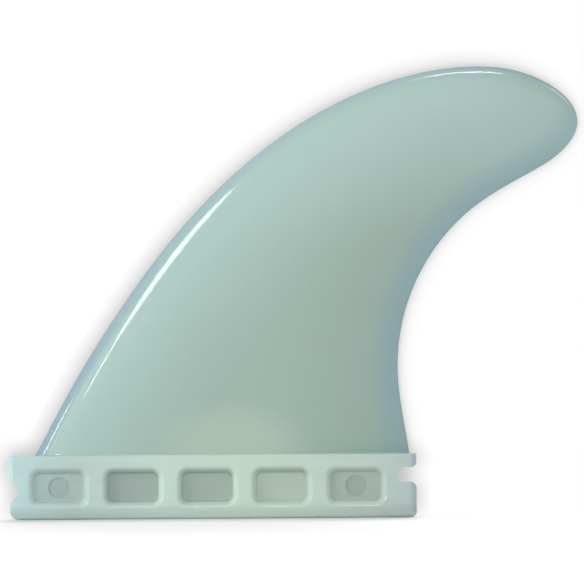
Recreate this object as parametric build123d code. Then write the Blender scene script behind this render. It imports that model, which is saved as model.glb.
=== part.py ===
from build123d import *
import math
import os

# A side fin for a surfboard, moulded in one piece: a raked, foiled blade on a full-length tab.
# The tab drops into a slotted box in the board, is hooked at its rear and clamped by a screw at its front.
# Frame: origin at the middle of the tab's bottom face, +X to the rear, +Z to the blade's tip.
# The foiled outer side faces -Y and the flat inner side faces +Y. All sizes are in millimetres.

# Tab, seen from the side
tab_length = 114.0
tab_depth = 17.8
top_corner_radius = 0.5
front_corner_radius = 2.6
rear_corner_radius = 1.9
heel_setback = 0.6  # the front end stands this much further back below its notch

# Tab, seen end on and from above
tab_thickness = 7.0
tab_bottom_radius = 2.3
tab_front_radius = 1.6
tab_rear_radius = 2.2

# Notch in the front end, where the clamping screw bears
notch_depth = 3.5
notch_height = 7.6  # of its root, above the tab's bottom
notch_upper_rise = 4.1
notch_lower_drop = 2.9
notch_root_radius = 1.0
notch_lip_radius = 0.9

# Hook slot in the rear end, which slides over a cross pin
slot_width = 4.0
slot_depth = 5.7
slot_drop = 5.8  # of its middle, below the tab's top
slot_upper_lip_radius = 1.6
slot_lower_lip_radius = 2.1

# Pockets that lighten the tab, in a row on both of its sides
pocket_count = 5
pocket_rib = 3.9  # between two neighbours, at their mouths
pocket_front_wall = 2.3  # from the notch's root to the first pocket
pocket_rear_wall = 2.9  # from the last pocket to the slot's end
pocket_edge_wall = 3.4  # above and below the row
pocket_web = 2.4  # between two facing pockets
pocket_corner_radius = 3.0
pocket_draft = 35.0  # degrees
end_pocket_rise = 0.7  # the first and last floors stand this much higher

# Round mark that an ejector pin left in the floor of each end pocket, on the outer side
ejector_mark_diameter = 5.8
ejector_mark_depth = 0.3

# Blade, along its own plane
front_shoulder = 7.5  # from the tab's front end to the foot of the leading edge
rear_shoulder = 2.0  # from the foot of the trailing edge to the tab's rear end
blade_reach = 151.8  # from the foot of the leading edge to the rearmost point of the tip
blade_depth = 108.3
cant = 6.5  # degrees that the blade leans to the outer side
root_shoulder = 0.5  # step between the blade's foot and each side of the tab
root_bevel = 0.3  # all round the blade's foot
root_stub = 2.0  # how far the blade's foot runs down inside the tab

# Foil, measured square to the flat inner side
tip_thickness = 2.7
thickest_at = 0.30  # share of the chord
nose_height_root = 2.6  # from the inner side to the foremost line of the leading edge
nose_height_tip = 1.1
trailing_thickness_root = 1.0
trailing_thickness_tip = 0.8
tip_rounding_start = 0.80  # share of the edges' length where the tip starts to round off

# Control points of the foiled side, as shares of the chord and of its rise over the two edges
foil_shape = ((0, 0), (0, 0.86), (0.21, 1.20), (0.35, 1.21), (0.70, 0.72), (1, 0))

# How many sections the foil is lofted through, and how close together they stand at the tip
section_count = 16
section_bunching = 1.6
last_section = 0.996  # share of the edges' length where the loft ends, just short of the tip

# Outline of each edge from its foot to the tip, as shares of the blade's own sizes
leading_edge_shape = (
    (0.000, 0.000),
    (0.073, 0.188),
    (0.156, 0.373),
    (0.254, 0.558),
    (0.383, 0.743),
    (0.566, 0.913),
    (0.810, 1.000),
    (0.933, 0.964),
    (1.000, 0.854),
)
trailing_edge_shape = (
    (0.000, 0.000),
    (-0.064, 0.199),
    (-0.027, 0.357),
    (0.106, 0.496),
    (0.383, 0.635),
    (0.728, 0.727),
    (0.934, 0.792),
    (1.000, 0.854),
)

front_end = -tab_length / 2
rear_end = tab_length / 2
notch_root = front_end + notch_depth
slot_end = rear_end - slot_depth
slot_height = tab_depth - slot_drop
slot_straight = slot_depth - slot_width / 2

row_start = notch_root + pocket_front_wall
row_end = slot_end - pocket_rear_wall
pocket_pitch = (row_end - row_start + pocket_rib) / pocket_count
pocket_width = pocket_pitch - pocket_rib
pocket_height = tab_depth - 2 * pocket_edge_wall
pocket_depth = (tab_thickness - pocket_web) / 2

leading_foot = front_end + front_shoulder
trailing_foot = rear_end - rear_shoulder
tip_end = leading_foot + blade_reach
blade_root_thickness = tab_thickness - 2 * root_shoulder


def rounded_at(sketch, x, height, radius):
    """The sketch with its corner nearest to a point rounded."""
    corner = sketch.vertices().sort_by_distance((x, height, 0))[0]
    return fillet(corner, radius)


def tab_side_view():
    """Flat outline of the tab from the side, with the screw notch in front and the hook slot behind."""
    heel = front_end + heel_setback
    upper_lip = notch_height + notch_upper_rise
    lower_lip = notch_height - notch_lower_drop
    outline = make_face(
        Polyline(
            (front_end, tab_depth),
            (front_end, upper_lip),
            (notch_root, notch_height),
            (heel, lower_lip),
            (heel, 0),
            (rear_end, 0),
            (rear_end, tab_depth),
            close=True,
        )
    )
    mouth = Rectangle(slot_depth, slot_width, align=(Align.MIN, Align.CENTER))
    outline -= Pos(slot_end + slot_width / 2, slot_height) * (Circle(slot_width / 2) + mouth)
    corners = (
        (front_end, tab_depth, top_corner_radius),
        (front_end, upper_lip, notch_lip_radius),
        (notch_root, notch_height, notch_root_radius),
        (heel, lower_lip, notch_lip_radius),
        (heel, 0, front_corner_radius),
        (rear_end, 0, rear_corner_radius),
        (rear_end, slot_height - slot_width / 2, min(slot_lower_lip_radius, 0.9 * slot_straight)),
        (rear_end, slot_height + slot_width / 2, min(slot_upper_lip_radius, 0.9 * slot_straight)),
        (rear_end, tab_depth, top_corner_radius),
    )
    for x, height, radius in corners:
        outline = rounded_at(outline, x, height, radius)
    return outline


def tab_body():
    """The tab without its pockets: where its side, end and top views meet."""
    from_side = extrude(Plane.XZ * tab_side_view(), tab_thickness, both=True)

    end_view = Rectangle(tab_thickness, tab_depth, align=(Align.CENTER, Align.MIN))
    end_view = fillet(end_view.vertices().group_by(Axis.Y)[0], tab_bottom_radius)
    from_end = extrude(Plane.YZ * end_view, tab_length, both=True)

    top_view = Rectangle(tab_length, tab_thickness)
    top_view = fillet(top_view.vertices().group_by(Axis.X)[0], tab_front_radius)
    top_view = fillet(top_view.vertices().group_by(Axis.X)[-1], tab_rear_radius)
    from_top = extrude(top_view, tab_depth)
    return from_side & from_end & from_top


def pocket_cutter(depth):
    """What one pocket takes away, opening upwards at the origin: sloping walls down to a flat floor."""
    mouth = RectangleRounded(pocket_width, pocket_height, pocket_corner_radius)
    return extrude(mouth, -depth, taper=pocket_draft)


def with_pockets(tab):
    """The tab with its rows of pockets on both sides, and ejector marks on the outer one."""
    mark = Cylinder(ejector_mark_diameter / 2, 2 * ejector_mark_depth)
    for side in (-1, 1):
        for index in range(pocket_count):
            at_end = index in (0, pocket_count - 1)
            depth = pocket_depth - (end_pocket_rise if at_end else 0)
            place = Plane(
                origin=(
                    row_start + pocket_width / 2 + index * pocket_pitch,
                    side * tab_thickness / 2,
                    tab_depth / 2,
                ),
                x_dir=(1, 0, 0),
                z_dir=(0, side, 0),
            )
            tab -= place * pocket_cutter(depth)
            if at_end and side < 0:
                tab -= place * Pos(0, 0, -depth) * mark
    return tab


def edge_line(shape, foot, reach):
    """One edge of the blade as a smooth line in its own plane, upright at the tip."""
    points = [(foot + x * reach, 0, z * blade_depth) for x, z in shape]
    start = Vector(points[1]) - Vector(points[0])
    end = Vector(0, 0, points[-1][2] - points[-2][2])
    return Spline(points, tangents=(start, end), tangent_scalars=(1, 1))


def between(root, tip, share):
    return root + (tip - root) * share


def foil_section(front, back, share, grown=0.0):
    """Closed section of the blade on the chord from front to back, at a share of its length.

    It can be grown all round by an amount, or shrunk by a negative one.
    """
    along = (back - front).normalized()
    outwards = Vector(0, -1, 0)
    chord = (back - front).length + 2 * grown
    front = front - (along + outwards) * grown
    past = max(0.0, (share - tip_rounding_start) / (1 - tip_rounding_start))
    rounding = math.cos(past * math.pi / 2)
    thickness = between(blade_root_thickness, tip_thickness, share) * rounding + 2 * grown
    nose = between(nose_height_root, nose_height_tip, share) * rounding + grown
    tail = between(trailing_thickness_root, trailing_thickness_tip, share) * rounding + 2 * grown
    crown = thickness - between(nose, tail, thickest_at)

    def at(distance, height):
        return front + along * distance + outwards * height

    foil = [at(x * chord, between(nose, tail, x) + rise * crown) for x, rise in foil_shape]
    corner = nose * (1 - math.sqrt(0.5))
    outline = [
        Bezier(*foil),
        Line(at(chord, tail), at(chord, 0)),
        Line(at(chord, 0), at(nose, 0)),
        ThreePointArc(at(nose, 0), at(corner, corner), at(0, nose)),
    ]
    return make_face(Wire(outline))


def blade_body():
    """The blade, lofted from its foot to its tip, then leaned over and set on the tab."""
    leading = edge_line(leading_edge_shape, leading_foot, blade_reach)
    trailing = edge_line(trailing_edge_shape, trailing_foot, tip_end - trailing_foot)
    sections = []
    for step in range(section_count):
        share = last_section * (1 - (1 - step / (section_count - 1)) ** section_bunching)
        sections.append(foil_section(leading @ share, trailing @ share, share))
    blade = loft(sections)
    blade += extrude(sections[0], root_stub, dir=(0, 0, -1))
    foot = Pos(0, blade_root_thickness / 2, tab_depth)
    return foot * Rot(cant, 0, 0) * blade


def foot_bevel():
    """Skirt at 45 degrees round the blade's foot, from just inside the tab to just inside the blade."""
    front, back = Vector(leading_foot, 0, 0), Vector(trailing_foot, 0, 0)
    size = min(root_bevel, 0.8 * root_shoulder)
    rings = [Pos(0, 0, rise * size) * foil_section(front, back, 0, (1 - rise) * size) for rise in (-0.2, 1.5)]
    return Pos(0, blade_root_thickness / 2, tab_depth) * loft(rings, ruled=True)


def fin():
    """Tab and blade as one piece, with a small bevel round the blade's foot."""
    return with_pockets(tab_body()) + blade_body() + foot_bevel()


os.makedirs("parts", exist_ok=True)
export_step(fin(), "parts/fin.step")
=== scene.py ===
import math

import bpy
import numpy
from mathutils import Matrix, Vector


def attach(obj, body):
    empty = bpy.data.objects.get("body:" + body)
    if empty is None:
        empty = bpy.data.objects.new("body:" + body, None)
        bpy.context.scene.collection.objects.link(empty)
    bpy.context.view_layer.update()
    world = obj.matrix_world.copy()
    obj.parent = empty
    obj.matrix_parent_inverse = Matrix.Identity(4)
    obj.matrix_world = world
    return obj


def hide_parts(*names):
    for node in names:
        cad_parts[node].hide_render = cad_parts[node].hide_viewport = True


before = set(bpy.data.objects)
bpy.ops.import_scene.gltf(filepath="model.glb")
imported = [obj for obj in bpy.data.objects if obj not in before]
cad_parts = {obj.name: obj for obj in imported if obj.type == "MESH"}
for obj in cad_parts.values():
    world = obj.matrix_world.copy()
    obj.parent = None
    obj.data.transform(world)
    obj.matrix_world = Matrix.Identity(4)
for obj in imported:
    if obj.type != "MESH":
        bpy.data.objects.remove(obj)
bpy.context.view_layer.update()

mm = 0.001  # the pieces' sizes are given in millimetres
quarter = math.pi / 2
print("frame loaded")


class Wire:
    # One output of a node. Sums written on it add their own Math nodes.
    def __init__(self, socket):
        self.socket = socket
        self.tree = socket.id_data

    def counted(self, operation, *others):
        node = self.tree.nodes.new("ShaderNodeMath")
        node.operation = operation
        for index, value in enumerate((self, *others)):
            plug(node.inputs[index], value)
        return Wire(node.outputs[0])

    def turned(self, operation, *others, out="Vector"):
        node = self.tree.nodes.new("ShaderNodeVectorMath")
        node.operation = operation
        for index, value in enumerate((self, *others)):
            plug(node.inputs[3 if operation == "SCALE" and index == 1 else index], value)
        return Wire(node.outputs[out])

    def isArrow(self):
        return self.socket.type == "VECTOR"

    def __add__(self, other):
        return self.turned("ADD", other) if self.isArrow() else self.counted("ADD", other)

    __radd__ = __add__

    def __sub__(self, other):
        return self.turned("SUBTRACT", other) if self.isArrow() else self.counted("SUBTRACT", other)

    def __rsub__(self, other):
        return (self * -1) + other

    def __mul__(self, other):
        return self.turned("SCALE", other) if self.isArrow() else self.counted("MULTIPLY", other)

    __rmul__ = __mul__

    def __truediv__(self, other):
        return self.counted("DIVIDE", other)

    def __rtruediv__(self, other):
        return self.counted("POWER", -1) * other

    def __pow__(self, other):
        return self.counted("POWER", other)

    def __lt__(self, other):
        return self.counted("LESS_THAN", other)

    def __gt__(self, other):
        return self.counted("GREATER_THAN", other)

    def atLeast(self, floor):
        return self.counted("MAXIMUM", floor)

    def atMost(self, roof):
        return self.counted("MINIMUM", roof)

    def shared(self):  # held between 0 and 1
        return self.atLeast(0).atMost(1)

    def between(self, low, high):  # smooth step, 0 at low and 1 at high
        share = ((self - low) * (1 / (high - low))).shared()
        return share * share * (3 - 2 * share)


def plug(socket, value):
    tree = socket.id_data
    if isinstance(value, Wire):
        tree.links.new(value.socket, socket)
    elif isinstance(value, list) and socket.is_multi_input:
        for wire in reversed(value):
            tree.links.new(wire.socket, socket)
    else:
        socket.default_value = value


class Bench:
    # A node tree being built: one method adds any node that isn't a sum.
    def __init__(self, tree):
        self.tree = tree

    def add(self, kind, settings=None, sockets=None, out=0):
        node = self.tree.nodes.new(kind)
        for name, value in (settings or {}).items():
            if name == "stops":
                while len(node.color_ramp.elements) < len(value):
                    node.color_ramp.elements.new(0.5)
                for element, (place, colour) in zip(node.color_ramp.elements, value):
                    element.position = place
                    element.color = (*colour, 1)
            else:
                setattr(node, name, value)
        for key, value in (sockets or {}).items():
            plug(node.inputs[key], value)
        return Wire(node.outputs[out]) if node.outputs else node

    def arrow(self, x, y, z):
        return self.add("ShaderNodeCombineXYZ", None, {"X": x, "Y": y, "Z": z})

    def parts(self, arrow):
        first = self.add("ShaderNodeSeparateXYZ", None, {0: arrow})
        return [Wire(output) for output in first.socket.node.outputs]

    def paint(self, factor, first, second, way="MIX"):
        return self.add("ShaderNodeMix", {"data_type": "RGBA", "blend_type": way},
                        {0: factor, 6: first, 7: second}, 2)

    def shaded(self, colour, level):
        return self.paint(1.0, colour, self.arrow(level, level, level), "MULTIPLY")


class MeshBench(Bench):
    # A bench for a geometry tree: it also asks for the tree's inputs, and keeps what each is given.
    def __init__(self, tree):
        super().__init__(tree)
        tree.interface.new_socket("Geometry", in_out="OUTPUT", socket_type="NodeSocketGeometry")
        self.asked = tree.nodes.new("NodeGroupInput")
        self.given = {}

    def ask(self, name, value, kind="NodeSocketFloat"):
        socket = self.tree.interface.new_socket(name, in_out="INPUT", socket_type=kind)
        self.given[socket.identifier] = value
        return Wire(self.asked.outputs[socket.identifier])

    def askSizes(self, piece, sizes, names):
        return {name: self.ask(piece + " " + name, sizes[name] * mm) for name in names}

    def askObject(self, name, thing):
        return self.ask(name, thing, "NodeSocketObject")

    def shapeOf(self, thing):
        return self.add("GeometryNodeObjectInfo", {"transform_space": "ORIGINAL"},
                        {"Object": thing}, "Geometry")

    def grid(self, columns, rows):
        # A grid, with the number of each point's column and row.
        mesh = self.add("GeometryNodeMeshGrid", None, {
            "Size X": columns, "Size Y": rows, "Vertices X": columns + 1, "Vertices Y": rows + 1}, "Mesh")
        across, along, _ = self.parts(self.add("GeometryNodeInputPosition"))
        return mesh, across + columns / 2, along + rows / 2

    def moved(self, mesh, **where):
        sockets = {name.capitalize(): value for name, value in where.items()}
        return self.add("GeometryNodeSetPosition", None, {"Geometry": mesh, **sockets})

    def placed(self, mesh, shift=(0, 0, 0), turn=(0, 0, 0)):
        return self.add("GeometryNodeTransform", None, {
            "Geometry": mesh, "Translation": shift, "Rotation": turn})

    def welded(self, mesh, gap):
        return self.add("GeometryNodeMergeByDistance", None, {"Geometry": mesh, "Distance": gap * mm})

    def combined(self, operation, others, first=None):
        sockets = {"Mesh 2": others}
        if first:
            sockets["Mesh 1"] = first
        return self.add("GeometryNodeMeshBoolean", {"operation": operation, "solver": "MANIFOLD"}, sockets)

    def pick(self, test, no, yes):
        # One value or the other, or a mix of them where the test lies between 0 and 1.
        kind = "VECTOR" if isinstance(yes, Wire) and yes.isArrow() else "FLOAT"
        first, second, out = {"FLOAT": (2, 3, 0), "VECTOR": (4, 5, 1)}[kind]
        return self.add("ShaderNodeMix", {"data_type": kind, "clamp_factor": False},
                        {0: test, first: no, second: yes}, out)


def inScene(thing):
    bpy.context.scene.collection.objects.link(thing)
    return thing


def emptyMaterial(name):
    material = bpy.data.materials.new(name)
    material.use_nodes = True
    material.node_tree.nodes.clear()
    return material, Bench(material.node_tree)


blade = {
    "reach": 151.8,          # from the foot of the leading edge to the rearmost point of the tip
    "depth": 108.3,          # from the tab's top to the blade's highest point, along the blade
    "leadingFoot": -49.5,
    "trailingFoot": 55.0,
    "rootThickness": 6.0,
    "tipThickness": 2.7,
    "thickestAt": 0.30,      # share of the chord
    "noseRoot": 2.6,         # height of the foremost line over the flat side
    "noseTip": 1.1,
    "tailRoot": 1.0,
    "tailTip": 0.8,
    "roundingStart": 0.80,   # share of the edges' length where the tip starts to round off
    "cant": 6.5,             # degrees of lean to the outer side
    "stub": 2.0,             # how far the foot runs down inside the tab
    "footRadius": 0.42,      # hollow corner between the foot and the tab's top
    "footSunk": (0.05, 0.35),  # under the tab's top, where that hollow ends
    "bunching": 1.6,         # of the rows, towards the tip
    "footShare": 0.0085,     # share of the edges' length that the foot's close rows cover
    "rows": (16, 190),       # in the foot, in the rest
    "columns": (84, 8, 40, 10),  # on the foil, the trailing edge, the flat side, the nose
    "edgeSteps": 64,         # in each stretch of an edge's curve
    "weld": 0.0002,          # points closer than this are merged
}
foilShape = ((0, 0), (0, 0.86), (0.21, 1.20), (0.35, 1.21), (0.70, 0.72), (1, 0))
leadingShape = ((0, 0), (0.073, 0.188), (0.156, 0.373), (0.254, 0.558), (0.383, 0.743),
                (0.566, 0.913), (0.810, 1.000), (0.933, 0.964), (1.000, 0.854))
trailingShape = ((0, 0), (-0.064, 0.199), (-0.027, 0.357), (0.106, 0.496),
                 (0.383, 0.635), (0.728, 0.727), (0.934, 0.792), (1.000, 0.854))


def smoothEdge(name, shape, foot, reach):
    # A cubic spline through the points: it leaves towards the second one and ends upright.
    places = numpy.array([((foot + x * reach) * mm, 0.0, z * blade["depth"] * mm) for x, z in shape])
    steps = numpy.linalg.norm(places[1:] - places[:-1], axis=1)
    count = len(places)
    system = numpy.zeros((count, count))
    wanted = numpy.zeros((count, 3))
    system[0, 0] = system[-1, -1] = 1
    wanted[0] = (places[1] - places[0]) / steps[0]
    wanted[-1] = (0, 0, math.copysign(1, places[-1][2] - places[-2][2]))
    for i in range(1, count - 1):
        before, after = steps[i - 1], steps[i]
        system[i, i - 1:i + 2] = after, 2 * (before + after), before
        wanted[i] = 3 * (after / before * (places[i] - places[i - 1])
                         + before / after * (places[i + 1] - places[i]))
    slopes = numpy.linalg.solve(system, wanted)

    curve = bpy.data.curves.new(name, "CURVE")
    curve.dimensions = "3D"
    curve.resolution_u = blade["edgeSteps"]
    spline = curve.splines.new("BEZIER")
    spline.bezier_points.add(count - 1)
    for i, point in enumerate(spline.bezier_points):
        point.handle_left_type = point.handle_right_type = "FREE"
        point.co = places[i]
        point.handle_left = places[i] - slopes[i] * steps[max(0, i - 1)] / 3
        point.handle_right = places[i] + slopes[i] * steps[min(count - 2, i)] / 3
    return inScene(bpy.data.objects.new(name, curve))


def bladeEdges():
    front, rear = blade["leadingFoot"], blade["trailingFoot"]
    tipEnd = front + blade["reach"]
    return (smoothEdge("leadingEdge", leadingShape, front, blade["reach"]),
            smoothEdge("trailingEdge", trailingShape, rear, tipEnd - rear))


def bladeMesh(bench, size, edges, seat, cant, tabDepth):
    # Rows run from inside the tab to the tip, and columns go once round the section.
    thickestAt = bench.ask("Blade thickest at", blade["thickestAt"])
    roundingStart = bench.ask("Tip rounding start", blade["roundingStart"])
    bunching = bench.ask("Row bunching", blade["bunching"])
    footShare = bench.ask("Foot share", blade["footShare"])
    foilSteps, tailSteps, flatSteps, noseSteps = blade["columns"]
    footRows, mainRows = blade["rows"]
    mesh, column, row = bench.grid(sum(blade["columns"]), 2 + footRows + mainRows)  # two close the foot
    footPart = ((row - 2) * (1 / footRows)).shared()
    mainPart = ((row - 2 - footRows) * (1 / mainRows)).shared()
    share = (footShare * footPart + (1 - footShare) * (1 - (1 - mainPart) ** bunching)).shared()

    # The section's own sizes at that share of the way up.
    front, back = [bench.add("GeometryNodeSampleCurve", {"mode": "FACTOR"},
                             {"Curves": bench.shapeOf(edge), "Factor": share}, "Position") for edge in edges]
    chordArrow = back - front
    chord = chordArrow.turned("LENGTH", out="Value")
    along = chordArrow.turned("NORMALIZE")
    past = ((share - roundingStart) / (1 - roundingStart)).atLeast(0)
    rounding = (past * quarter).counted("COSINE").atLeast(0)
    thickness = bench.pick(share, size["rootThickness"], size["tipThickness"]) * rounding
    nose = bench.pick(share, size["noseRoot"], size["noseTip"]) * rounding
    tail = bench.pick(share, size["tailRoot"], size["tailTip"]) * rounding
    crown = thickness - bench.pick(thickestAt, nose, tail)
    lastFlat = chord - tail / 2

    # How far along the chord and how high over the flat side each column lies, part by part.
    travel = (column * (1 / foilSteps)).shared()
    rest = 1 - travel
    degree = len(foilShape) - 1
    weights = [travel ** k * rest ** (degree - k) * math.comb(degree, k) for k in range(degree + 1)]
    run = sum(weight * point[0] for weight, point in zip(weights, foilShape))
    rise = sum(weight * point[1] for weight, point in zip(weights, foilShape))
    foilAlong = run * lastFlat
    foilUp = bench.pick(run, nose, tail) + rise * crown

    turn = (column - foilSteps) * (math.pi / tailSteps)
    tailAlong = lastFlat + tail / 2 * turn.counted("SINE")
    tailUp = tail / 2 + tail / 2 * turn.counted("COSINE")

    sweep = (column - foilSteps - tailSteps) * (math.pi / flatSteps)
    flatAlong = bench.pick(0.5 - 0.5 * sweep.counted("COSINE"), lastFlat, nose)

    bend = (column - foilSteps - tailSteps - flatSteps) * (quarter / noseSteps)
    noseAlong = nose * (1 - bend.counted("SINE"))
    noseUp = nose * (1 - bend.counted("COSINE"))

    onTail = column > foilSteps + 0.5
    onFlat = column > foilSteps + tailSteps + 0.5
    onNose = column > foilSteps + tailSteps + flatSteps + 0.5
    distance = bench.pick(onTail, foilAlong, tailAlong)
    distance = bench.pick(onNose, bench.pick(onFlat, distance, flatAlong), noseAlong)
    height = bench.pick(onNose, bench.pick(onFlat, bench.pick(onTail, foilUp, tailUp), 0.0), noseUp)
    ring = front + along * distance + bench.arrow(0, -1 * height, -1 * size["stub"] * (row < 1.5))
    middle = front + chordArrow * 0.5 + bench.arrow(0, thickness * -0.4, -1 * size["stub"])  # inside the ring
    mesh = bench.welded(bench.moved(mesh, position=bench.pick(row < 0.5, ring, middle)), blade["weld"])
    mesh = bench.placed(mesh, seat, bench.arrow(cant, 0, 0))

    # The foot flares into the tab's top in a small hollow.
    normalX, normalY, _ = bench.parts(bench.add("GeometryNodeInputNormal"))
    _, _, level = bench.parts(bench.add("GeometryNodeInputPosition"))
    short = (size["footRadius"] - (level - tabDepth).atLeast(0)).atLeast(0)
    flare = size["footRadius"] - (size["footRadius"] ** 2 - short ** 2).atLeast(0) ** 0.5
    sunk = (tabDepth - level).between(*(part * mm for part in blade["footSunk"]))
    sideways = bench.arrow(normalX, normalY, 0).turned("NORMALIZE")
    return bench.moved(mesh, offset=sideways * (flare * (1 - sunk)))


tab = {
    "length": 114.0,
    "depth": 17.8,
    "thickness": 7.0,
    "heelSetback": 0.6,      # the front end stands this much further back below its notch
    "topCorner": 0.5,        # radii of its corners seen from the side
    "frontCorner": 2.6,
    "rearCorner": 1.9,
    "bottomRadius": 2.3,     # radii of its long edges and of its ends
    "topRadius": 0.25,
    "frontRadius": 1.6,
    "rearRadius": 2.2,
    "cornerSteps": 10,
    "weld": 0.0005,
    "notch": {"depth": 3.5, "height": 7.6, "rise": 4.1, "drop": 2.9, "root": 1.0, "lip": 0.9},
    "slot": {"width": 4.0, "depth": 5.7, "drop": 5.8, "upperLip": 1.6, "lowerLip": 2.1},
}


def roundedView(name, *corners):
    # A flat view drawn corner by corner, each with its own radius.
    curve = bpy.data.curves.new(name, "CURVE")
    curve.dimensions = "3D"
    spline = curve.splines.new("POLY")
    spline.points.add(len(corners) - 1)
    spline.use_cyclic_u = True
    for point, (x, y, radius) in zip(spline.points, corners):
        point.co = (x * mm, y * mm, 0, 1)
        point.radius = radius
    return inScene(bpy.data.objects.new(name, curve))


def tabViews():
    half, wide, depth = tab["length"] / 2, tab["thickness"] / 2, tab["depth"]
    notch, slot = tab["notch"], tab["slot"]
    heel, slotEnd = tab["heelSetback"] - half, half - slot["depth"]
    slotLow = depth - slot["drop"] - slot["width"] / 2
    slotHigh = slotLow + slot["width"]
    slotEndRadius = slot["width"] * 0.4999  # a hair under half, so that the two corners don't meet
    side = roundedView(
        "sideView",
        (-half, depth, tab["topCorner"]),
        (-half, notch["height"] + notch["rise"], notch["lip"]),
        (notch["depth"] - half, notch["height"], notch["root"]),
        (heel, notch["height"] - notch["drop"], notch["lip"]),
        (heel, 0, tab["frontCorner"]),
        (half, 0, tab["rearCorner"]),
        (half, slotLow, slot["lowerLip"]),
        (slotEnd, slotLow, slotEndRadius),
        (slotEnd, slotHigh, slotEndRadius),
        (half, slotHigh, slot["upperLip"]),
        (half, depth, tab["topCorner"]),
    )
    top, bottom = tab["topRadius"], tab["bottomRadius"]
    end = roundedView("endView", (-wide, 0, bottom), (wide, 0, bottom), (wide, depth, top),
                      (-wide, depth, top))
    front, rear = tab["frontRadius"], tab["rearRadius"]
    above = roundedView("topView", (-half, -wide, front), (half, -wide, rear), (half, wide, rear),
                        (-half, wide, front))
    return {"Side view": side, "End view": end, "Top view": above}


def tabMesh(bench, size):
    # Where its side, end and top views meet.
    def prism(view, length, start, turn=(0, 0, 0)):
        radius = bench.add("GeometryNodeInputRadius")
        line = bench.add("GeometryNodeFilletCurve", {"mode": "POLY"}, {
            "Curve": bench.shapeOf(view), "Count": tab["cornerSteps"], "Radius": radius * mm,
            "Limit Radius": True})
        face = bench.placed(bench.add("GeometryNodeFillCurve", {"mode": "NGONS"}, {0: line}),
                            bench.arrow(0, 0, start))
        top = bench.add("GeometryNodeExtrudeMesh", {"mode": "FACES"}, {
            "Mesh": face, "Offset": bench.arrow(0, 0, 1), "Offset Scale": length, "Individual": False})
        bottom = bench.add("GeometryNodeFlipFaces", None, {0: face})
        both = bench.add("GeometryNodeJoinGeometry", None, {0: [top, bottom]})
        return bench.placed(bench.welded(both, tab["weld"]), turn=turn)

    side, end, above = [bench.askObject(name, view) for name, view in tabViews().items()]
    return bench.combined("INTERSECT", [
        prism(side, size["thickness"] * 2, size["thickness"] * -1, (quarter, 0, 0)),
        prism(end, size["length"] * 2, size["length"] * -1, (quarter, 0, quarter)),
        prism(above, size["depth"] * 2, size["depth"] * -0.5),
    ])


pocket = {
    "count": 5,
    "rib": 3.9,
    "frontWall": 2.3,
    "rearWall": 2.9,
    "edgeWall": 3.4,
    "web": 2.4,
    "cornerRadius": 3.0,
    "endRise": 0.7,          # the first and last floors stand this much higher
    "rimGrowth": 0.5,        # how far the rounded rim spreads past the mouth
    "inset": 2.6,            # of the floor from that rim's outer edge
    "rimRadius": 1.4,
    "floorRadius": 0.8,
    "wallDraft": 35.0,       # degrees
    "proud": 0.01,           # so that the rim's rounding, not its edge, meets the tab's side
    "clear": 1.0,            # how far the cutter stands out of the tab
    "cornerColumns": 10,     # of its mesh, round one corner
    "bendRows": 7,           # in one rounding
    "markDiameter": 5.8,
    "markDepth": 0.3,
    "markSides": 48,
    "weld": 0.001,
}


def pocketRow():
    # Where the first pocket starts, the step from one to the next, and a pocket's width.
    start = tab["notch"]["depth"] - tab["length"] / 2 + pocket["frontWall"]
    end = tab["length"] / 2 - tab["slot"]["depth"] - pocket["rearWall"]
    pitch = (end - start + pocket["rib"]) / pocket["count"]
    return start, pitch, pitch - pocket["rib"]


def pocketFloor():
    return (tab["thickness"] - pocket["web"]) / 2


def pocketCutter(bench):
    # Open side up at the origin: rounded rim, steep wall, rounded foot, flat floor.
    wide, growth = pocketRow()[2], pocket["rimGrowth"]
    mouthWide = bench.ask("Pocket width", (wide + 2 * growth) * mm)
    mouthHigh = bench.ask("Pocket height", (tab["depth"] - 2 * pocket["edgeWall"] + 2 * growth) * mm)
    floorDeep = bench.ask("Pocket depth", pocketFloor() * mm)
    cornerRadius = bench.ask("Pocket corner radius", (pocket["cornerRadius"] + growth) * mm)
    size = bench.askSizes("Pocket", pocket, ("inset", "rimRadius", "floorRadius"))
    steps, bends = pocket["cornerColumns"], pocket["bendRows"]
    mesh, column, row = bench.grid(4 * (steps + 1), 5 + 2 * bends)
    column = column.counted("FLOORED_MODULO", 4 * (steps + 1))
    quadrant = ((column + 0.5) * (1 / (steps + 1))).counted("FLOOR")
    angle = (quadrant + (column - quadrant * (steps + 1)) * (1 / steps)) * quarter
    middleAngle = (quadrant + 0.5) * quarter
    signX = middleAngle.counted("COSINE").counted("SIGN")
    signY = middleAngle.counted("SINE").counted("SIGN")
    wall = quarter - math.radians(pocket["wallDraft"])
    rimTurn = ((row - 2) * (1 / bends)).shared() * wall
    footTurn = ((3 + 2 * bends - row) * (1 / bends)).shared() * wall
    onFloor = row > 2.5 + bends
    inwards = bench.pick(onFloor, size["rimRadius"] * rimTurn.counted("SINE"),
                         size["inset"] - size["floorRadius"] * footTurn.counted("SINE"))
    down = bench.pick(onFloor, size["rimRadius"] * (1 - rimTurn.counted("COSINE")),
                      floorDeep - size["floorRadius"] * (1 - footTurn.counted("COSINE")))
    down = bench.pick(row < 1.5, down, -pocket["clear"] * mm)
    radius = cornerRadius - inwards
    spread = (row > 0.5) * (row < 3.5 + 2 * bends)  # first and last rows close the ends
    x = (signX * (mouthWide / 2 - cornerRadius) + radius * angle.counted("COSINE")) * spread
    y = (signY * (mouthHigh / 2 - cornerRadius) + radius * angle.counted("SINE")) * spread
    place = bench.arrow(x, y, pocket["proud"] * mm - down)
    mesh = bench.welded(bench.moved(mesh, position=place), pocket["weld"])
    return bench.add("GeometryNodeFlipFaces", None, {0: mesh})


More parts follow.
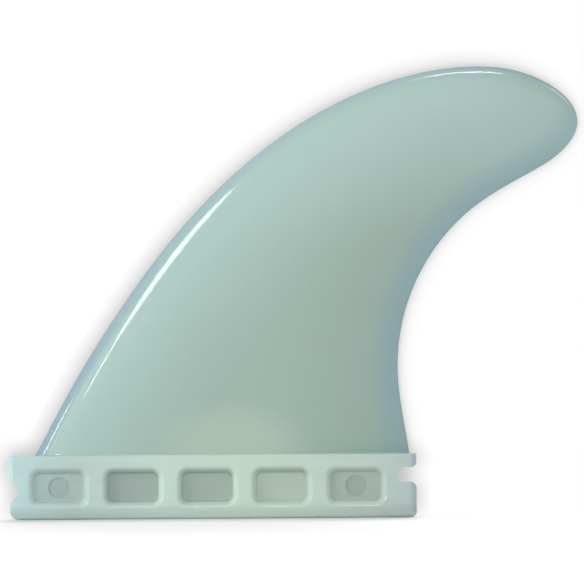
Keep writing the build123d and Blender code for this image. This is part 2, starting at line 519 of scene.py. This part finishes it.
def pocketCutters(bench):
    # A row of them along each side of the tab. The end pockets are shallower, and marked on the outer side.
    start, pitch, wide = pocketRow()

    def inRow(side, thing, count, step, scale):
        line = bench.add("GeometryNodeMeshLine", {"mode": "OFFSET"}, {
            "Count": count,
            "Start Location": ((start + wide / 2) * mm,
                               side * tab["thickness"] / 2 * mm, tab["depth"] / 2 * mm),
            "Offset": (step * mm, 0, 0)})
        row = bench.add("GeometryNodeInstanceOnPoints", None, {
            "Points": line, "Instance": thing, "Rotation": (-side * quarter, 0, 0), "Scale": scale})
        return bench.add("GeometryNodeRealizeInstances", None, {0: row})

    number = bench.add("GeometryNodeInputIndex")
    middling = (number > 0.5) * (number < pocket["count"] - 1.5)
    endFloor = pocketFloor() - pocket["endRise"]
    scale = bench.arrow(1, 1, bench.pick(middling, endFloor / pocketFloor(), 1.0))
    cutter = pocketCutter(bench)
    mark = bench.add("GeometryNodeMeshCylinder", {"fill_type": "NGON"}, {
        "Vertices": pocket["markSides"], "Radius": pocket["markDiameter"] / 2 * mm,
        "Depth": 2 * pocket["markDepth"] * mm}, "Mesh")
    mark = bench.placed(mark, (0, 0, -endFloor * mm))
    rows = [inRow(side, cutter, pocket["count"], pitch, scale) for side in (-1, 1)]
    return [*rows, inRow(-1, mark, 2, pitch * (pocket["count"] - 1), (1, 1, 1))]


def withEdgeDistances(bench, mesh, edges, seat, cant):
    # How far each point is from either edge of the blade, seen square on, in mm, to tint its thin parts by.
    lean = math.radians(blade["cant"])
    squareOn = (0, math.cos(lean), math.sin(lean))
    here = bench.add("GeometryNodeInputPosition")
    aside = (here - seat).turned("DOT_PRODUCT", squareOn, out="Value")
    flattened = here - bench.arrow(*(aside * part for part in squareOn))
    for name, edge in zip(("leadingDistance", "trailingDistance"), edges):
        line = bench.add("GeometryNodeCurveToMesh", None, {0: bench.shapeOf(edge)})
        line = bench.placed(line, seat, bench.arrow(cant, 0, 0))
        near = bench.add("GeometryNodeProximity", {"target_element": "EDGES"},
                         {0: line, "Sample Position": flattened}, "Distance")
        mesh = bench.add("GeometryNodeStoreNamedAttribute", {"data_type": "FLOAT", "domain": "POINT"},
                         {"Geometry": mesh, "Name": name, "Value": near / mm})
    return mesh


moulding = {
    "weld": 0.0005,          # mm
    "sharpFold": 32,         # degrees, from which a fold stays sharp
}


def finTree(material):
    tree = bpy.data.node_groups.new("finMoulding", "GeometryNodeTree")
    bench = MeshBench(tree)
    bladeSize = bench.askSizes("Blade", blade, (
        "rootThickness", "tipThickness", "noseRoot", "noseTip", "tailRoot", "tailTip", "stub", "footRadius"))
    tabSize = bench.askSizes("Tab", tab, ("length", "depth", "thickness"))
    cant = bench.ask("Blade cant", math.radians(blade["cant"]))
    edges = [bench.askObject(name, edge)
             for name, edge in zip(("Leading edge", "Trailing edge"), bladeEdges())]
    finish = bench.ask("Finish", material, "NodeSocketMaterial")

    # The blade stands on the tab's top, with its flat side towards the inner one.
    seat = bench.arrow(0, bladeSize["rootThickness"] * 0.5, tabSize["depth"])
    standing = bladeMesh(bench, bladeSize, edges, seat, cant, tabSize["depth"])
    whole = bench.combined("UNION", [tabMesh(bench, tabSize), standing])
    whole = bench.welded(bench.combined("DIFFERENCE", pocketCutters(bench), whole), moulding["weld"])
    whole = withEdgeDistances(bench, whole, edges, seat, cant)

    # Smooth, but for real corners.
    fold = bench.add("GeometryNodeInputMeshEdgeAngle")
    whole = bench.add("GeometryNodeSetShadeSmooth", {"domain": "FACE"}, {"Geometry": whole})
    whole = bench.add("GeometryNodeSetShadeSmooth", {"domain": "EDGE"}, {
        "Geometry": whole, "Shade Smooth": fold < math.radians(moulding["sharpFold"])})
    whole = bench.add("GeometryNodeRealizeInstances", None, {0: whole})
    whole = bench.add("GeometryNodeSetMaterial", None, {"Geometry": whole, "Material": finish})
    tree.links.new(whole.socket, tree.nodes.new("NodeGroupOutput").inputs[0])
    return tree, bench.given


def makeFin(material):
    tree, given = finTree(material)
    fin = inScene(bpy.data.objects.new("finMoulding", bpy.data.meshes.new("finMoulding")))
    grown = fin.modifiers.new("moulding", "NODES")
    grown.node_group = tree
    for identifier, value in given.items():
        grown[identifier] = value
    evened = fin.modifiers.new("evenNormals", "WEIGHTED_NORMAL")
    evened.keep_sharp = True
    graph = bpy.context.evaluated_depsgraph_get()
    mesh = bpy.data.meshes.new_from_object(
        fin.evaluated_get(graph), preserve_all_data_layers=True, depsgraph=graph)
    fin.modifiers.clear()
    fin.data = mesh
    for value in given.values():  # the drawn curves have done their work
        if isinstance(value, bpy.types.Object):
            bpy.data.objects.remove(value)
    return fin


plastic = {
    # Tints of the blade, where each one starts and ends, and how strong it gets.
    "core": (0.364, 0.494, 0.438),        # the thick middle
    "leading": (0.400, 0.562, 0.516),     # thinner and clearer towards the leading edge, and lighter there as painted light
    "leadingReach": (7, 40),              # mm in from that edge, where it fades
    "top": (0.412, 0.562, 0.525),         # towards the tip, thinner there, and lighter as painted light
    "topReach": (75, 118),                # mm above the tab's bottom
    "patch": (0.444, 0.568, 0.470),       # a warmer patch low in the middle
    "patchAt": (6, 18),                   # mm behind the tab's middle and above its bottom
    "patchReach": (25, 17),
    "trailingShade": 0.85,                # painted shade: the share of those tints left at the trailing edge
    "trailingReach": (-10, 45),           # mm in from that edge
    "leadingRim": (0.235, 0.345, 0.458),  # the thin edges
    "leadingRimReach": (-0.7, 4.2),       # mm in from the edge
    "leadingRimFade": (20, 112),          # mm above the tab's bottom
    "trailingRim": (0.257, 0.389, 0.422),
    "trailingRimReach": (0.3, 10),
    "trailingRimFade": (98, 112),
    "rimDepth": 0.9,
    "tipRimLoss": 0.55,                   # how much weaker both rims end at the tip
    # Tints of the tab.
    "tabFromTo": (-0.2, 0.3),             # mm from the tab's top, where its tint gives way to the blade's
    "tab": ((0.00, (0.502, 0.695, 0.700)), (0.15, (0.476, 0.610, 0.568)),  # along it, front to rear
            (0.38, (0.546, 0.690, 0.622)), (0.62, (0.545, 0.680, 0.580)),
            (0.88, (0.503, 0.615, 0.552)), (1.00, (0.432, 0.528, 0.526))),
    "tabFoot": 0.88,                      # painted shade: the share of the tab's tint left along its bottom
    "tabFootReach": (2.5, 4.2),           # mm above it
    "tabEdge": 1.25,                      # painted light: the same tint lifted on the bottom's rounded edges
    "tabEdgeReach": (0.2, 2.0),
    "floorShade": (0.80, 0.63, 0.64, 0.80, 0.72),  # painted shade on each pocket's floor, front to rear
    "floorStart": (0.55, 0.9),            # shares of the pocket's depth
    "floorEnds": (-0.2, 1.6),             # mm past the pocket's mouth, where that shade fades
    "floorMargin": (3.2, 2.8),            # mm in from the tab's top and bottom, where it fades too
    # painted shade on the sunk marks in the end pockets' floors
    "markShade": 0.92,
    "markSlack": 0.05,                    # mm below the mark's floor that still count as it
    # Noises, with how much each one sways the tint and the roughness.
    "clouds": {"scale": 28, "detail": 2, "stretch": (1, 1, 1), "tint": 0.06, "roughness": 0.06},
    "specks": {"scale": 900, "detail": 3, "stretch": (1, 1, 1), "tint": 0.02, "roughness": 0.05},
    "streaks": {"scale": 60, "detail": 4, "stretch": (0.5, 1, 6), "tint": 0.16},
    "ripples": {"scale": 220, "detail": 2, "stretch": (1, 1, 1)},
    "noiseRoughness": 0.55,
    "rippleShare": 0.7,                   # of the fine relief, and the specks make the rest
    "reliefStrength": 0.10,
    "reliefHeight": 0.00005,
    # Shine and depth.
    "roughness": 0.16,
    "coat": 0.45,
    "coatRoughness": 0.03,
    "refraction": 1.5,
    "specular": 0.1,                      # low, since the coat gives the gloss
    "subsurface": 0.15,
    "subsurfaceRadius": (0.5, 1.0, 0.8),
    "subsurfaceScale": 0.0015,
}


def bladeTint(bench, x, z):
    # Clearer and bluer where it is thin. Lighter towards the leading edge and the tip, partly as painted
    # light, and darker towards the trailing edge as painted shade.
    def shade(name):
        return (*plastic[name], 1)

    fromLeading, fromTrailing = [bench.add("ShaderNodeAttribute", {"attribute_name": name}, None, "Fac")
                                 for name in ("leadingDistance", "trailingDistance")]
    # Lighter towards the leading edge and the tip: partly thinner plastic, partly painted light.
    tint = bench.paint(1 - fromLeading.between(*plastic["leadingReach"]), shade("core"), shade("leading"))
    tint = bench.paint(z.between(*plastic["topReach"]), tint, shade("top"))
    (patchX, patchZ), (reachX, reachZ) = plastic["patchAt"], plastic["patchReach"]
    away = ((x - patchX) * (1 / reachX)) ** 2 + ((z - patchZ) * (1 / reachZ)) ** 2
    tint = bench.paint(1 - away.between(0, 1), tint, shade("patch"))
    # Painted shade: the tints darken towards the trailing edge.
    rearward = 1 - fromTrailing.between(*plastic["trailingReach"])
    tint = bench.shaded(tint, 1 - rearward * (1 - plastic["trailingShade"]))
    for rim, distance in (("leadingRim", fromLeading), ("trailingRim", fromTrailing)):
        depth = plastic["rimDepth"] * (1 - plastic["tipRimLoss"] * z.between(*plastic[rim + "Fade"]))
        near = 1 - distance.between(*plastic[rim + "Reach"])
        tint = bench.paint(near * depth, tint, shade(rim))
    return tint


def tabTint(bench, x, y, z):
    # Denser and paler, bluer at its ends, with painted shade along its foot, on the pocket floors and on the
    # marks, and painted light on its rounded bottom edges.
    tint = bench.add("ShaderNodeValToRGB", {"stops": plastic["tab"]}, {0: x / tab["length"] + 0.5})
    hollow = tab["thickness"] / 2 - y.counted("ABSOLUTE")
    start, pitch, wide = pocketRow()
    ends = [wide / 2 + past for past in plastic["floorEnds"]]
    floors, deepest = 1.0, pocketFloor()
    for number, level in enumerate(plastic["floorShade"]):
        middle = start + wide / 2 + pitch * number
        here = 1 - (x - middle).counted("ABSOLUTE").between(*ends)
        floors = floors - here * (1 - level)
        if number in (0, pocket["count"] - 1):
            deepest = deepest - here * pocket["endRise"]
    high = tab["depth"] / 2
    inRow = 1 - (z - high).counted("ABSOLUTE").between(*(high - margin for margin in plastic["floorMargin"]))
    onMark = ((hollow > deepest + pocket["markDepth"] / 2)
              * (hollow < deepest + pocket["markDepth"] + plastic["markSlack"]))
    onFloor = (hollow / deepest).between(*plastic["floorStart"]) * inRow
    # Painted shade on the pocket floors and the sunk marks.
    level = 1 - onFloor * (1 - floors) - onMark * (1 - plastic["markShade"])
    # Painted shade along the tab's foot, and painted light on its rounded bottom edges.
    level = level * (1 - (1 - z.between(*plastic["tabFootReach"])) * (1 - plastic["tabFoot"]))
    level = level * (1 + (1 - z.between(*plastic["tabEdgeReach"])) * (plastic["tabEdge"] - 1))
    return bench.shaded(tint, level)


def plasticMaterial():
    material, bench = emptyMaterial("palePlastic")
    place = bench.add("ShaderNodeTexCoord", None, None, "Object")
    x, y, z = [part / mm for part in bench.parts(place)]

    def noise(name):
        arrow = bench.add("ShaderNodeMapping", None, {"Vector": place, "Scale": plastic[name]["stretch"]})
        return bench.add("ShaderNodeTexNoise", None, {
            "Vector": arrow, "Scale": plastic[name]["scale"], "Detail": plastic[name]["detail"],
            "Roughness": plastic["noiseRoughness"]})

    noises = {name: noise(name) for name in ("clouds", "specks", "streaks", "ripples")}

    def sway(name, what):
        return (noises[name] - 0.5) * plastic[name][what]  # the noise runs to both sides of 0.5

    onBlade = z.between(*(tab["depth"] + past for past in plastic["tabFromTo"]))
    colour = bench.paint(onBlade, tabTint(bench, x, y, z), bladeTint(bench, x, z))
    onTab = 1 - onBlade  # only the tab is streaked
    lift = 1 + sway("clouds", "tint") + sway("streaks", "tint") * onTab + sway("specks", "tint")
    colour = bench.shaded(colour, lift)
    roughness = plastic["roughness"] + sway("clouds", "roughness") + sway("specks", "roughness")
    relief = noises["ripples"] * plastic["rippleShare"] + noises["specks"] * (1 - plastic["rippleShare"])
    grain = bench.add("ShaderNodeBump", None, {
        "Strength": plastic["reliefStrength"], "Distance": plastic["reliefHeight"], "Height": relief})
    shader = bench.add("ShaderNodeBsdfPrincipled", None, {
        "Base Color": colour,
        "Roughness": roughness,
        "Normal": grain,
        "Coat Weight": plastic["coat"],
        "Coat Roughness": plastic["coatRoughness"],
        "IOR": plastic["refraction"],
        "Specular IOR Level": plastic["specular"],
        "Subsurface Weight": plastic["subsurface"],
        "Subsurface Radius": plastic["subsurfaceRadius"],
        "Subsurface Scale": plastic["subsurfaceScale"],
    })
    bench.add("ShaderNodeOutputMaterial", None, {"Surface": shader})
    return material


studio = {
    "floorColour": (0.80, 0.80, 0.80),
    "floorHalf": 6,         # m
    "floorGlowAndShadow": (0.05, 0.40, 0.78),  # seen by the camera only: beside the tab, around the fin, far off; low beside the tab as a painted shadow, where the floor's own shadow also shows
    "glowReach": (0.06, 1.2),  # m from the tab to the second and third of these
    "glowEndInset": 5,      # mm in from the tab's ends, where the distance along it starts to count
    "glowEndRate": 6,       # how much more it counts than the distance across
    "cardGap": 1.2,         # mm between the blade's flat side and the white card behind it
    "cardHeight": 0.5,
    "cardHalf": 1,
    "haloReach": 0.0055,    # how far the fin's soft shadow reaches on that card
    "haloDepth": 0.66,
    "haloSamples": 16,
    "worldLight": 0.285,
    "aim": (-0.01, 0.0, 0.065),
    "lamps": (
        # name, directions of its two ends, distance, width, brightness of its face, shows in the gloss
        ("windowLeft", (-0.358, -0.933, 0.005), (-0.329, -0.925, 0.195), 1.2, 0.16, 15.5, True),
        ("sliverLeft", (-0.375, -0.926, -0.046), (-0.362, -0.932, 0.020), 1.2, 0.032, 18.0, True),
        ("hazeLeft", (-0.46, -0.885, -0.04), (-0.52, -0.85, 0.05), 1.2, 0.2, 2.0, True),
        ("windowFarLeft", (-0.603, -0.796, 0.074), (-0.650, -0.754, 0.100), 1.2, 0.04, 20.0, True),
        ("softLeft", (-0.96, -0.36, -0.04), (-0.83, -0.30, 0.46), 0.9, 0.6, 5.0, False),
        ("stripTop", (-0.08, -0.855, 0.53), (0.28, -0.865, 0.44), 1.1, 0.06, 34.0, True),
        ("stripRight", (0.55, -0.65, 0.53), (0.62, -0.78, 0.02), 1.2, 0.04, 26.0, True),
        ("softBack", (0.25, 0.95, 0.12), (0.25, 0.75, 0.62), 1.2, 0.7, 6.0, False),
    ),
}


def looksAtIt(bench):
    # 1 for the rays that show a surface to the camera, straight or in the gloss, and 0 for its light.
    kinds = ("Is Camera Ray", "Is Glossy Ray", "Is Transmission Ray")
    return sum(bench.add("ShaderNodeLightPath", out=kind) for kind in kinds).shared()


def floorMaterial():
    material, bench = emptyMaterial("floorPaint")
    ground = bench.add("ShaderNodeBsdfDiffuse", None, {"Color": (*studio["floorColour"], 1)})
    x, y, _ = bench.parts(bench.add("ShaderNodeTexCoord", None, None, "Object"))
    # Painted shadow: the glow is lowest beside the tab and rises with the distance from it.
    pastEnd = (x.counted("ABSOLUTE") - (tab["length"] / 2 - studio["glowEndInset"]) * mm).atLeast(0)
    away = ((pastEnd * studio["glowEndRate"]) ** 2 + y ** 2) ** 0.5
    (beside, around, far), (near, wide) = studio["floorGlowAndShadow"], studio["glowReach"]
    level = beside + away.between(0, near) * (around - beside) + away.between(near, wide) * (far - around)
    glow = bench.add("ShaderNodeEmission", None, {"Strength": level})
    lit = bench.add("ShaderNodeAddShader", None, {0: ground, 1: glow})
    surface = bench.add("ShaderNodeMixShader", None, {0: looksAtIt(bench), 1: ground, 2: lit})
    bench.add("ShaderNodeOutputMaterial", None, {"Surface": surface})
    return material


def cardMaterial():
    # A white card that only a camera in front of it sees, with the fin's soft shadow on it.
    material, bench = emptyMaterial("cardPaint")
    clear = bench.add("ShaderNodeAmbientOcclusion", {"samples": studio["haloSamples"]},
                      {"Distance": studio["haloReach"]}, "AO")
    paint = bench.add("ShaderNodeEmission", None, {"Strength": 1 - (1 - clear) * studio["haloDepth"]})
    nothing = bench.add("ShaderNodeBsdfTransparent")
    seen = bench.add("ShaderNodeLightPath", out="Is Camera Ray")
    facing = 1 - bench.add("ShaderNodeNewGeometry", out="Backfacing")
    surface = bench.add("ShaderNodeMixShader", None, {0: seen * facing, 1: nothing, 2: paint})
    bench.add("ShaderNodeOutputMaterial", None, {"Surface": surface})
    return material


def plane(name, corners, material):
    mesh = bpy.data.meshes.new(name)
    mesh.from_pydata(corners, [], [range(4)])
    mesh.materials.append(material)
    thing = inScene(bpy.data.objects.new(name, mesh))
    return thing


def placeLamp(name, low, high, distance, width, brightness, shiny):
    low, high = Vector(low), Vector(high)
    way = (low + high).normalized()
    across = (high - low).cross(way).normalized()
    lamp = bpy.data.lights.new(name, "AREA")
    lamp.shape = "ELLIPSE"
    lamp.size, lamp.size_y = width, (high - low).length * distance
    lamp.energy = brightness * math.pi * lamp.size * lamp.size_y
    thing = inScene(bpy.data.objects.new(name, lamp))
    turn = Matrix((across, way.cross(across), way)).transposed().to_4x4()
    thing.matrix_world = Matrix.Translation(Vector(studio["aim"]) + way * distance) @ turn
    thing.visible_glossy = shiny


def makeWorld():
    # White to look at, and dimmer as a light.
    world = bpy.data.worlds.new("studioWorld")
    bpy.context.scene.world = world
    world.use_nodes = True
    world.node_tree.nodes.clear()
    bench = Bench(world.node_tree)
    shown = looksAtIt(bench)
    sky = bench.add("ShaderNodeBackground", None, {"Strength": shown + (1 - shown) * studio["worldLight"]})
    bench.add("ShaderNodeOutputWorld", None, {"Surface": sky})


def makeStudio():
    half = studio["floorHalf"]
    floor = plane("floor", [(-half, -half, 0), (half, -half, 0), (half, half, 0), (-half, half, 0)],
                  floorMaterial())
    floor.visible_shadow = False  # it darkens nothing but itself
    lean = math.tan(math.radians(blade["cant"]))
    half, top = studio["cardHalf"], studio["cardHeight"]
    low, high = [(blade["rootThickness"] / 2 + studio["cardGap"]) * mm - (z - tab["depth"] * mm) * lean
                 for z in (0, top)]
    plane("card", [(-half, low, 0), (half, low, 0), (half, high, top), (-half, high, top)], cardMaterial())
    for lamp in studio["lamps"]:
        placeLamp(*lamp)
    makeWorld()


view = {
    "photoSize": 584,
    "perPixel": 0.2784,     # mm at the tab
    "middle": (22.6, 62.98),  # what the photograph's middle looks at, mm
    "roll": 0.42,           # degrees
    "distance": 3.0,
    "focusPlane": -4.0,     # mm, where that scale holds
    "sensor": 36,
    "farthest": 50,
}


def makeCamera():
    lens = bpy.data.cameras.new("camera")
    camera = inScene(bpy.data.objects.new("camera", lens))
    lens.sensor_width = view["sensor"]
    lens.lens = view["sensor"] * view["distance"] / (view["photoSize"] * view["perPixel"] * mm)
    lens.clip_end = view["farthest"]
    turn = Matrix.Rotation(quarter, 4, "X") @ Matrix.Rotation(math.radians(-view["roll"]), 4, "Z")
    x, z = view["middle"]
    place = (x * mm, view["focusPlane"] * mm - view["distance"], z * mm)
    camera.matrix_world = Matrix.Translation(place) @ turn
    bpy.context.scene.camera = camera


palePlastic = plasticMaterial()
print("plastic mixed,", len(palePlastic.node_tree.nodes), "nodes")
fin = makeFin(palePlastic)
print("fin moulded,", len(fin.data.polygons), "faces")
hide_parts("fin")
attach(fin, "root")
makeStudio()
print("studio set,", len(studio["lamps"]), "lamps")
makeCamera()
bpy.context.scene.view_settings.view_transform = "Standard"
print("camera set")
